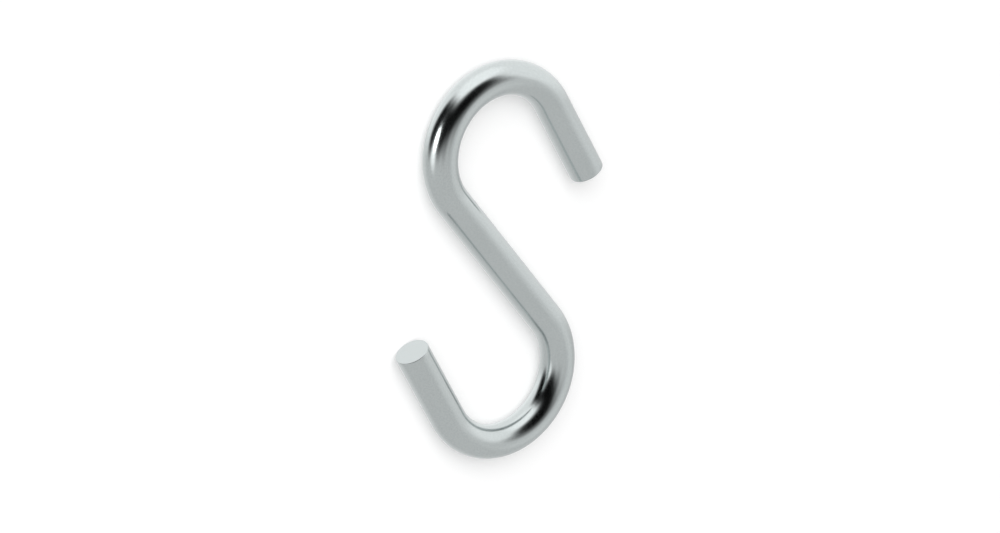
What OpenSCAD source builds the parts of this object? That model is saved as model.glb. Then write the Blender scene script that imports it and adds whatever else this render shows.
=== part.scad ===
// Open S link: one length of round wire, bent into two equal crooks that face opposite ways.
// It lies on its side, with the middle of its shank over the origin and its load line along Y.

/* [Wire] */
// Diameter of the straight wire
wire_d = 5; // [3:0.1:7]
// How much thinner the wire is round a bend, where forming has stretched it
bend_thinning = 0.02; // [0.02:0.01:0.2]
// Radius that breaks the sharp edge round each cut end
edge_round = 0.1; // [0.05:0.05:1]

/* [Shank] */
// Length of the straight shank between the two bends
shank_l = 26.4; // [16:0.1:80]

/* [Crooks] */
// Inside diameter of each crook
crook_d = 15.6; // [10:0.1:30]
// Angle that the wire turns through round each crook
bend_angle = 189; // [150:1:200]
// Length of each straight free leg, from its bend to its cut end
leg_l = 13; // [2:0.1:20]

/* [Hidden] */

wire_r = wire_d / 2;
bent_wire_r = (wire_d - bend_thinning) / 2;
// Radius of the wire's axis round a crook
bend_r = crook_d / 2 + bent_wire_r;
// The load line joins the centres of the crooks. The shank crosses it and touches both bends.
shank_lean = atan2(bend_r, shank_l / 2);
crook_y = norm([bend_r, shank_l / 2]);
// Turn from +X to the plane where a bend ends and its free leg begins
leg_turn = 180 + shank_lean - bend_angle;
// How far each end of a bend runs on inside the straight wire that it fuses with
lap_angle = 1;
// Sides round the wire, and along a full turn of a bend
wire_sides = 96;
turn_sides = 240;

// Straight wire between the two bends
module shank() {
    rotate([90, 0, shank_lean])
        cylinder(h = shank_l, r = wire_r, center = true, $fn = wire_sides);
}

// Wire bent round the origin, from the free leg at +X round to the shank
module bend() {
    rotate(-lap_angle)
        rotate_extrude(angle = bend_angle + 2 * lap_angle, $fn = turn_sides)
            translate([bend_r, 0]) circle(r = bent_wire_r, $fn = wire_sides);
}

// Straight wire up to the flat cut end, with the edge of the cut rounded
module leg() {
    rotate_extrude($fn = wire_sides) {
        square([wire_r - edge_round, leg_l]);
        square([wire_r, leg_l - edge_round]);
        translate([wire_r - edge_round, leg_l - edge_round])
            intersection() {
                square(edge_round);
                circle(r = edge_round, $fn = wire_sides);
            }
    }
}

// Bend and free leg of one crook, about the crook's centre
module crook() {
    rotate(leg_turn) {
        bend();
        translate([bend_r, 0, 0]) rotate([90, 0, 0]) leg();
    }
}

// The whole wire on its side, with its crooks a half turn apart
module s_link() {
    color("silver") translate([0, 0, wire_r]) {
        shank();
        for (turn = [0, 180])
            rotate(turn) translate([0, crook_y, 0]) crook();
    }
}

s_link();
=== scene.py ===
"""Open S link of bright round wire, lying on a pale floor under plain soft studio light."""

import math

import bpy
import numpy as np
from mathutils import Matrix, Vector


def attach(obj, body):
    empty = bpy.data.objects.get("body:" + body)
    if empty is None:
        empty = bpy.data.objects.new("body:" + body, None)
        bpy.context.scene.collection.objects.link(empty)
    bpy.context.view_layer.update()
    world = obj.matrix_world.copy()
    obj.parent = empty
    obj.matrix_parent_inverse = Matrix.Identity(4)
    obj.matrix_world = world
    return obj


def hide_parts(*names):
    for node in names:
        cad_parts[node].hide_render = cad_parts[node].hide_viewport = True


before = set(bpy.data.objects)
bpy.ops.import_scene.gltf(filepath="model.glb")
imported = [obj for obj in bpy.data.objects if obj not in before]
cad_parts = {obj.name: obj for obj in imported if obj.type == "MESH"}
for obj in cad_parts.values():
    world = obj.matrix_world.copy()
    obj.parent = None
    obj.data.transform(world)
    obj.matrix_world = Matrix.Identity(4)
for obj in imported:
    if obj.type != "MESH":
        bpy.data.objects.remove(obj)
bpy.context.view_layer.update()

# ---- Sizes, in metres and degrees, the same as in the CAD model ----

WIRE_RADIUS = 0.0025
BENT_WIRE_RADIUS = 0.00249
EDGE_ROUND = 0.0001
SHANK_LENGTH = 0.0264
BEND_RADIUS = 0.01029
BEND_ANGLE = 189
LEG_LENGTH = 0.013
# The load line through the crooks' centres is +Y, so the shank leans away from it
SHANK_HEADING = math.pi / 2 + math.atan2(BEND_RADIUS, SHANK_LENGTH / 2)

# ---- How finely the wire is built ----

WIRE_SIDES = 128
# Rings along a leg, the whole shank, a bend and a rounded edge
LEG_STEPS = 26
SHANK_STEPS = 54
BEND_STEPS = 189
ROUND_STEPS = 6
# Rings across each flat cut face, as shares of its radius
CUT_RINGS = (0.985, 0.9, 0.75, 0.6, 0.45, 0.3, 0.15)
# Length at each end of a bend over which the wire changes thickness
TAPER_LENGTH = 0.0015

# The wire's surface is unrolled into this many strips, with this gap between them
MAP_STRIPS = 3
MAP_GAP = 0.0004

# ---- Camera ----

CAMERA_AT = Vector((-0.555763, 0.332122, 0.750938))
CAMERA_AIM = Vector((0.000074, -0.000890, 0.0025))
# Small turn about the line of sight, in degrees, which brings the load line upright
CAMERA_ROLL = -0.112
# The sensor and lens are in millimetres, and the nearest and furthest seen are in metres
SENSOR_WIDTH = 36
LENS = 252.76
CLIP_START = 0.01
CLIP_END = 100

# ---- The wire ----


def smooth_step(value):
    """0 below 0, 1 above 1, and a smooth rise between."""
    value = np.clip(value, 0, 1)
    return value * value * (3 - 2 * value)


def half_path():
    """Distance from the shank's middle, place, heading and wire radius along the upper half."""
    half_shank = SHANK_LENGTH / 2
    bend_length = BEND_RADIUS * math.radians(BEND_ANGLE)
    bend_end = half_shank + bend_length
    distance = np.concatenate([
        np.linspace(0, half_shank, SHANK_STEPS // 2, endpoint=False),
        np.linspace(half_shank, bend_end, BEND_STEPS, endpoint=False),
        np.linspace(bend_end, bend_end + LEG_LENGTH - EDGE_ROUND, LEG_STEPS),
    ])
    on_shank = np.minimum(distance, half_shank)
    turned = np.clip(distance - half_shank, 0, bend_length) / BEND_RADIUS
    on_leg = np.maximum(distance - bend_end, 0)
    heading = SHANK_HEADING - turned
    # The bend's centre lies a bend radius to the right of the shank
    x = on_shank * math.cos(SHANK_HEADING)
    x = x + BEND_RADIUS * (math.sin(SHANK_HEADING) - np.sin(heading))
    x = x + on_leg * np.cos(heading)
    y = on_shank * math.sin(SHANK_HEADING)
    y = y + BEND_RADIUS * (np.cos(heading) - math.cos(SHANK_HEADING))
    y = y + on_leg * np.sin(heading)
    into_bend = smooth_step((distance - half_shank) / TAPER_LENGTH)
    out_of_bend = smooth_step((bend_end - distance) / TAPER_LENGTH)
    thinned = (WIRE_RADIUS - BENT_WIRE_RADIUS) * into_bend * out_of_bend
    return distance, x, y, heading, WIRE_RADIUS - thinned


def cut_end():
    """Distance past the last full ring and wire radius, over the rounded edge and across the cut."""
    turn = np.linspace(0, math.pi / 2, ROUND_STEPS + 1)[1:]
    ahead = EDGE_ROUND * np.sin(turn)
    radius = WIRE_RADIUS - EDGE_ROUND * (1 - np.cos(turn))
    flat_radius = (WIRE_RADIUS - EDGE_ROUND) * np.array(CUT_RINGS)
    ahead = np.concatenate([ahead, np.full(len(flat_radius), EDGE_ROUND)])
    return ahead, np.concatenate([radius, flat_radius])


def wire_rings():
    """One row for each ring, from one cut end to the other.

    A row is distance, x, y, heading, wire radius, and 1 where the wire was cut.
    """
    distance, x, y, heading, radius = half_path()
    ahead, end_radius = cut_end()
    distance = np.concatenate([distance, distance[-1] + ahead])
    x = np.concatenate([x, x[-1] + ahead * math.cos(heading[-1])])
    y = np.concatenate([y, y[-1] + ahead * math.sin(heading[-1])])
    heading = np.concatenate([heading, np.full(len(ahead), heading[-1])])
    radius = np.concatenate([radius, end_radius])
    on_cut = np.concatenate([np.zeros(len(radius) - len(end_radius)), np.ones(len(end_radius))])
    upper = np.stack([distance, x, y, heading, radius, on_cut], axis=1)
    # The lower half is the upper half turned half round, and it is walked the other way
    lower = upper[:0:-1] * [-1, -1, -1, 1, 1, 1]
    return np.concatenate([lower, upper])


def wire_points(rings):
    """The mesh's points, where each lies in a straight wire, and 1 where the wire was cut."""
    distance, x, y, heading, radius, on_cut = (column[:, None] for column in rings.T)
    # A ring starts underneath, where the wire rests on the floor
    around = np.linspace(0, 2 * math.pi, WIRE_SIDES, endpoint=False) - math.pi / 2
    side = radius * np.cos(around)
    up = radius * np.sin(around)
    points = np.stack([
        x - side * np.sin(heading),
        y + side * np.cos(heading),
        WIRE_RADIUS + up,
    ], axis=2).reshape(-1, 3)
    straight = np.stack(np.broadcast_arrays(distance, side, up), axis=2).reshape(-1, 3)
    cut = np.repeat(on_cut, WIRE_SIDES)
    # The last two points are the middles of the cut faces
    for end_distance, end_x, end_y in rings[[0, -1], :3]:
        points = np.vstack([points, (end_x, end_y, WIRE_RADIUS)])
        straight = np.vstack([straight, (end_distance, 0, 0)])
        cut = np.append(cut, 1)
    return points, straight, cut


def wire_faces(ring_count):
    """The points at each face's corners: four between rings, three round a cut face's middle."""
    this = np.arange(WIRE_SIDES)
    following = (this + 1) % WIRE_SIDES
    start = (np.arange(ring_count - 1) * WIRE_SIDES)[:, None]
    between = np.stack([
        start + this,
        start + following,
        start + WIRE_SIDES + following,
        start + WIRE_SIDES + this,
    ], axis=2).reshape(-1, 4)
    last_ring = (ring_count - 1) * WIRE_SIDES
    middle = np.full(WIRE_SIDES, ring_count * WIRE_SIDES)
    first_cut = np.stack([middle, following, this], axis=1)
    last_cut = np.stack([middle + 1, last_ring + this, last_ring + following], axis=1)
    return between.tolist() + first_cut.tolist() + last_cut.tolist()


def unrolled_map(rings, faces):
    """Map coordinates at each corner of each face.

    The wire is unrolled into strips, and its two cut faces lie beside them.
    """
    distance = rings[:, 0]
    radius = rings[:, 4]
    first_wall = len(CUT_RINGS)
    last_wall = len(rings) - 1 - len(CUT_RINGS)
    # Length along the surface, which counts the rounded edge's own curve
    along = np.concatenate([[0], np.cumsum(np.hypot(np.diff(distance), np.diff(radius)))])
    along = along - along[first_wall]
    strip_length = along[last_wall] / MAP_STRIPS
    girth = 2 * math.pi * WIRE_RADIUS
    map_size = MAP_STRIPS * (girth + MAP_GAP) + MAP_GAP
    # A strip's last face can reach past its end, so the cut faces lie two gaps away
    cut_u = MAP_GAP + strip_length + 2 * MAP_GAP + WIRE_RADIUS
    places = []
    for face in faces:
        face_rings = [corner // WIRE_SIDES for corner in face]
        face_sides = [corner % WIRE_SIDES for corner in face]
        if first_wall <= min(face_rings) and max(face_rings) <= last_wall:
            middle = (along[face_rings[0]] + along[face_rings[-1]]) / 2
            strip = min(int(middle / strip_length), MAP_STRIPS - 1)
            # The last side of a ring joins its first, which is counted on past the end there
            closes = max(face_sides) == WIRE_SIDES - 1 and min(face_sides) == 0
            for ring, side in zip(face_rings, face_sides):
                across = WIRE_SIDES if closes and side == 0 else side
                u = MAP_GAP + along[ring] - strip * strip_length
                v = MAP_GAP + strip * (girth + MAP_GAP) + girth * across / WIRE_SIDES
                places.append((u, v))
        else:
            is_last_cut = min(face_rings) >= last_wall
            cut_v = MAP_GAP + WIRE_RADIUS + is_last_cut * (2 * WIRE_RADIUS + MAP_GAP)
            for ring, side in zip(face_rings, face_sides):
                # The middles of the cut faces are counted after the last ring
                reach = radius[ring] if ring < len(rings) else 0
                turn = 2 * math.pi * side / WIRE_SIDES
                places.append((cut_u + reach * math.cos(turn), cut_v + reach * math.sin(turn)))
    return np.array(places) / map_size


def wire_mesh(name):
    """The wire as one closed mesh, with its surface unrolled into a map named OFBake."""
    rings = wire_rings()
    points, straight, cut = wire_points(rings)
    faces = wire_faces(len(rings))
    mesh = bpy.data.meshes.new(name)
    mesh.from_pydata(points.tolist(), [], faces)
    mesh.polygons.foreach_set("use_smooth", [True] * len(faces))
    attribute = mesh.attributes.new("straight_wire", "FLOAT_VECTOR", "POINT")
    attribute.data.foreach_set("vector", straight.astype(np.float32).ravel())
    attribute = mesh.attributes.new("cut_face", "FLOAT", "POINT")
    attribute.data.foreach_set("value", cut.astype(np.float32))
    layer = mesh.uv_layers.new(name="OFBake")
    layer.uv.foreach_set("vector", unrolled_map(rings, faces).astype(np.float32).ravel())
    mesh.update()
    return mesh


# ---- Bright steel, with heights in microns ----

MICRON = 0.000001
# Colours of the plating where its speckle is bright and where it is dull
STEEL_BRIGHT = (0.687, 0.735, 0.735, 1)
STEEL_DULL = (0.643, 0.690, 0.690, 1)
STEEL_ROUGHNESS = 0.18

# Each noise is the size of its marks along the wire, to its side and upwards, in metres, then
# its detail and its roughness

# Lines that the drawing die leaves along the wire
DRAWN_NOISE = ((0.009, 0.00014, 0.00014), 3, 0.6)
DRAWN_HEIGHT = 1.4
DRAWN_ROUGHNESS = 0.06
# Fine grain of the plating
GRAIN_NOISE = ((0.00022, 0.00022, 0.00022), 2, 0.6)
GRAIN_HEIGHT = 1.4
# Soft clouds in the plating, wider than its grain
CLOUD_NOISE = ((0.006, 0.003, 0.003), 2, 0.6)
CLOUD_ROUGHNESS = 0.06
# The grain's share in the plating's speckle, and the noise at which it is dull or bright
SPECKLE_SHARE = 0.75
SHADE_DULL = 0.36
SHADE_BRIGHT = 0.64
# Lines across a cut face, where the wire was sheared
SHEAR_NOISE = ((math.inf, 0.0018, 0.00012), 3, 0.5)
SHEAR_HEIGHT = 2.0
# What a cut face adds to the roughness, and its shade from 0, dull, to 1, bright
CUT_ROUGHNESS = 0.14
CUT_SHADE = 0.9

# ---- Shader nodes ----


def add_node(tree, kind, values=None, **settings):
    """A node whose inputs get these values: numbers, colours or other nodes' outputs."""
    made = tree.nodes.new(kind)
    for name, value in settings.items():
        setattr(made, name, value)
    for name, value in (values or {}).items():
        socket = made.inputs[name]
        if isinstance(value, bpy.types.NodeSocket):
            tree.links.new(value, socket)
        else:
            socket.default_value = value
    return made


def math_node(tree, operation, *values):
    """The output of one step of arithmetic on numbers or other nodes' outputs."""
    return add_node(tree, "ShaderNodeMath", dict(enumerate(values)), operation=operation).outputs[0]


def ramp(tree, value, start, end, low, high):
    """Smooth change from low to high as value goes from start to end."""
    values = {"Value": value, "From Min": start, "From Max": end, "To Min": low, "To Max": high}
    made = add_node(tree, "ShaderNodeMapRange", values, interpolation_type="SMOOTHSTEP")
    return made.outputs["Result"]


def wire_noise(tree, straight, mark_size, detail, roughness):
    """Noise whose marks have this size along the straight wire, to its side and upwards."""
    marks_per_metre = [1 / size for size in mark_size]
    scaled = add_node(
        tree,
        "ShaderNodeVectorMath",
        {0: straight, 1: marks_per_metre},
        operation="MULTIPLY",
    ).outputs["Vector"]
    values = {"Vector": scaled, "Scale": 1, "Detail": detail, "Roughness": roughness}
    return add_node(tree, "ShaderNodeTexNoise", values).outputs["Fac"]


def bright_steel():
    """Plated wire: lines from the drawing die, the fine grain of the plating, and a duller cut face."""
    material = bpy.data.materials.new("bright_steel")
    material.use_nodes = True
    tree = material.node_tree
    shader = tree.nodes["Principled BSDF"]
    shader.inputs["Metallic"].default_value = 1
    straight = add_node(tree, "ShaderNodeAttribute", attribute_name="straight_wire").outputs["Vector"]
    cut = add_node(tree, "ShaderNodeAttribute", attribute_name="cut_face").outputs["Fac"]

    drawn = wire_noise(tree, straight, *DRAWN_NOISE)
    grain = wire_noise(tree, straight, *GRAIN_NOISE)
    cloud = wire_noise(tree, straight, *CLOUD_NOISE)
    shear = wire_noise(tree, straight, *SHEAR_NOISE)

    speckle = math_node(tree, "MULTIPLY", grain, SPECKLE_SHARE)
    speckle = math_node(tree, "MULTIPLY_ADD", cloud, 1 - SPECKLE_SHARE, speckle)
    shade = ramp(tree, speckle, SHADE_DULL, SHADE_BRIGHT, 0, 1)
    # A cut face has none of the plating's speckle
    to_plain = math_node(tree, "SUBTRACT", CUT_SHADE, shade)
    shade = math_node(tree, "MULTIPLY_ADD", cut, to_plain, shade)
    values = {"Factor": shade, "A": STEEL_DULL, "B": STEEL_BRIGHT}
    colour = add_node(tree, "ShaderNodeMix", values, data_type="RGBA").outputs["Result"]
    tree.links.new(colour, shader.inputs["Base Color"])

    # Clouds and drawn lines vary the roughness to both sides of the steel's own
    smoothest = STEEL_ROUGHNESS - (CLOUD_ROUGHNESS + DRAWN_ROUGHNESS) / 2
    roughness = math_node(tree, "MULTIPLY_ADD", cloud, CLOUD_ROUGHNESS, smoothest)
    roughness = math_node(tree, "MULTIPLY_ADD", drawn, DRAWN_ROUGHNESS, roughness)
    roughness = math_node(tree, "MULTIPLY_ADD", cut, CUT_ROUGHNESS, roughness)
    tree.links.new(roughness, shader.inputs["Roughness"])

    on_wall = math_node(tree, "MULTIPLY", drawn, DRAWN_HEIGHT)
    on_wall = math_node(tree, "MULTIPLY_ADD", grain, GRAIN_HEIGHT, on_wall)
    on_cut = math_node(tree, "MULTIPLY", shear, SHEAR_HEIGHT)
    difference = math_node(tree, "SUBTRACT", on_cut, on_wall)
    height = math_node(tree, "MULTIPLY_ADD", cut, difference, on_wall)
    bump = add_node(tree, "ShaderNodeBump", {"Height": height, "Strength": 1, "Distance": MICRON})
    tree.links.new(bump.outputs["Normal"], shader.inputs["Normal"])
    return material


# ---- Studio, with angles in degrees ----


def sky_direction(azimuth, elevation):
    """Unit vector towards a place in the sky. Azimuth runs from +X towards +Y."""
    turn = math.radians(azimuth)
    rise = math.radians(elevation)
    return (math.cos(turn) * math.cos(rise), math.sin(turn) * math.cos(rise), math.sin(rise))


# Tones of the two halves of the studio, and how far towards +Y one turns into the other
GREY_TONE = 0.61
LIGHT_TONE = 0.98
GREY_ENDS = -0.27
LIGHT_STARTS = 0.16
# Round patches of the studio: azimuth, elevation, radius and softness, then strength
LIGHT_PATCHES = [
    (-26, 29, 11, 17, 0.12),
    (-54, -66, 25, 35, 0.18),
    (91, 9, 29, 12, 0.20),
]
# Together these make one large dark card, over the camera and round the lamp
DARK_PATCHES = [
    (145, -14, 21, 10, 1),
    (130, 62, 25, 16, 1),
    (82, 62, 23, 9, 1),
    (25, 71, 12, 14, 0.86),
    (156, 32, 27, 11, 1),
    (136, 10, 6, 15, 0.92),
    (166, -25, 12, 17, 1),
]
# A soft glow low on the left, over the dark card
SIDE_GLOW = (186, 2, 11, 10.5, 0.55)
# How strongly the sky lights the floor, and how strongly the camera sees it, as plain white
FLOOR_SKY = 0.35
CAMERA_SKY = 1
# Where the wire reflects itself, the floor's tone and its share in what the second reflection shows
FLOOR_TONE = 0.6
FLOOR_SHARE = 0.6
# Ray Depth at the sky is 2 after one reflection and 3 or more after two, and this parts them
TWICE_REFLECTED_DEPTH = 2.5


def soft_disc(tree, direction, azimuth, elevation, radius, softness, strength):
    """The strength inside a round patch of the studio, 0 outside, and smooth between."""
    toward = add_node(
        tree,
        "ShaderNodeVectorMath",
        {0: direction, 1: sky_direction(azimuth, elevation)},
        operation="DOT_PRODUCT",
    ).outputs["Value"]
    outside = math.cos(math.radians(radius + softness))
    inside = math.cos(math.radians(max(radius - softness, 0)))
    return ramp(tree, toward, outside, inside, 0, strength)


def light_world():
    """The studio that the metal shows. The floor is lit evenly instead, and the camera sees white."""
    world = bpy.data.worlds.new("studio")
    bpy.context.scene.world = world
    world.use_nodes = True
    tree = world.node_tree
    tree.nodes.clear()
    direction = add_node(tree, "ShaderNodeTexCoord").outputs["Generated"]
    along_y = add_node(tree, "ShaderNodeSeparateXYZ", {0: direction}).outputs["Y"]
    tone = ramp(tree, along_y, GREY_ENDS, LIGHT_STARTS, GREY_TONE, LIGHT_TONE)
    for patch in LIGHT_PATCHES:
        tone = math_node(tree, "ADD", tone, soft_disc(tree, direction, *patch))
    for patch in DARK_PATCHES:
        clear = math_node(tree, "SUBTRACT", 1, soft_disc(tree, direction, *patch))
        tone = math_node(tree, "MULTIPLY", tone, clear)
    tone = math_node(tree, "ADD", tone, soft_disc(tree, direction, *SIDE_GLOW))
    rays = add_node(tree, "ShaderNodeLightPath").outputs
    reflected_twice = math_node(tree, "GREATER_THAN", rays["Ray Depth"], TWICE_REFLECTED_DEPTH)
    # Each layer covers its share of what comes before it
    layers = (
        (math_node(tree, "MULTIPLY", reflected_twice, FLOOR_SHARE), FLOOR_TONE),
        (rays["Is Diffuse Ray"], FLOOR_SKY),
        (rays["Is Camera Ray"], CAMERA_SKY),
    )
    for share, strength in layers:
        values = {"Factor": share, "A": tone, "B": strength}
        tone = add_node(tree, "ShaderNodeMix", values).outputs["Result"]
    background = add_node(tree, "ShaderNodeBackground", {"Color": (1, 1, 1, 1), "Strength": tone})
    add_node(tree, "ShaderNodeOutputWorld", {"Surface": background.outputs[0]})


# A small lamp low on the left, so near the upper bend that the lower bend doesn't show it
SPOT_AIM = Vector((-0.011, 0.0205, 0.004))
SPOT_DIRECTION = (168, 8)
SPOT_DISTANCE = 0.062
SPOT_WIDTH = 0.0356
SPOT_HEIGHT = 0.0232
SPOT_BEAM = 28
SPOT_POWER = 0.00039
# A broad soft light on the floor, which the metal doesn't show
KEY_DIRECTION = (130, 50)
KEY_WIDTH = 60
KEY_STRENGTH = 2.5


def aim(lamp, at, target):
    """Put the lamp at a place, facing a target, with its width level."""
    backward = (at - target).normalized()
    right = Vector((0, 0, 1)).cross(backward).normalized()
    turn = Matrix((right, backward.cross(right), backward)).transposed()
    lamp.matrix_world = Matrix.Translation(at) @ turn.to_4x4()


def add_lamp(name, kind, at, target):
    """A lamp that the camera doesn't see."""
    lamp = bpy.data.objects.new(name, bpy.data.lights.new(name, kind))
    bpy.context.scene.collection.objects.link(lamp)
    aim(lamp, at, target)
    lamp.visible_camera = False
    return lamp


def place_lamps():
    """The small lamp, which only the metal shows, and the broad one, which only lights the floor."""
    at = SPOT_AIM + SPOT_DISTANCE * Vector(sky_direction(*SPOT_DIRECTION))
    spot = add_lamp("spot", "AREA", at, SPOT_AIM)
    spot.data.shape = "ELLIPSE"
    spot.data.size = SPOT_WIDTH
    spot.data.size_y = SPOT_HEIGHT
    spot.data.energy = SPOT_POWER
    spot.data.spread = math.radians(SPOT_BEAM)
    spot.visible_diffuse = False
    key = add_lamp("key", "SUN", Vector(sky_direction(*KEY_DIRECTION)), Vector((0, 0, 0)))
    key.data.energy = KEY_STRENGTH
    key.data.angle = math.radians(KEY_WIDTH)
    key.visible_glossy = False


FLOOR_RADIUS = 12
FLOOR_SIDES = 64
FLOOR_COLOUR = (0.8, 0.8, 0.8, 1)
# What the camera sees added to the floor, so that the open floor is white
FLOOR_GLOW = 0.27


def lay_floor():
    """A white floor that takes the wire's shadow, and that the metal doesn't show."""
    bpy.ops.mesh.primitive_circle_add(vertices=FLOOR_SIDES, radius=FLOOR_RADIUS, fill_type="NGON")
    floor = bpy.context.object
    floor.name = "floor"
    floor.visible_glossy = False
    material = bpy.data.materials.new("floor_white")
    material.use_nodes = True
    tree = material.node_tree
    tree.nodes.clear()
    diffuse = add_node(tree, "ShaderNodeBsdfDiffuse", {"Color": FLOOR_COLOUR})
    seen = add_node(tree, "ShaderNodeLightPath").outputs["Is Camera Ray"]
    strength = math_node(tree, "MULTIPLY", seen, FLOOR_GLOW)
    glow = add_node(tree, "ShaderNodeEmission", {"Strength": strength})
    both = add_node(tree, "ShaderNodeAddShader", {0: diffuse.outputs[0], 1: glow.outputs[0]})
    add_node(tree, "ShaderNodeOutputMaterial", {"Surface": both.outputs[0]})
    floor.data.materials.append(material)


def place_camera():
    """The photograph's view of the link."""
    camera = bpy.data.objects.new("camera", bpy.data.cameras.new("camera"))
    bpy.context.scene.collection.objects.link(camera)
    camera.data.sensor_width = SENSOR_WIDTH
    camera.data.lens = LENS
    camera.data.clip_start = CLIP_START
    camera.data.clip_end = CLIP_END
    forward = (CAMERA_AIM - CAMERA_AT).normalized()
    right = forward.cross(Vector((0, 1, 0))).normalized()
    upward = right.cross(forward)
    level = Matrix((right, upward, -forward)).transposed()
    roll = Matrix.Rotation(math.radians(CAMERA_ROLL), 3, forward)
    camera.matrix_world = Matrix.Translation(CAMERA_AT) @ (roll @ level).to_4x4()
    bpy.context.scene.camera = camera


place_camera()
light_world()
place_lamps()
lay_floor()

link = bpy.data.objects.new("s_link_wire", wire_mesh("s_link_wire"))
bpy.context.scene.collection.objects.link(link)
link.data.materials.append(bright_steel())
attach(link, "root")
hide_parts("s_link")

bpy.context.scene.view_settings.view_transform = "Standard"
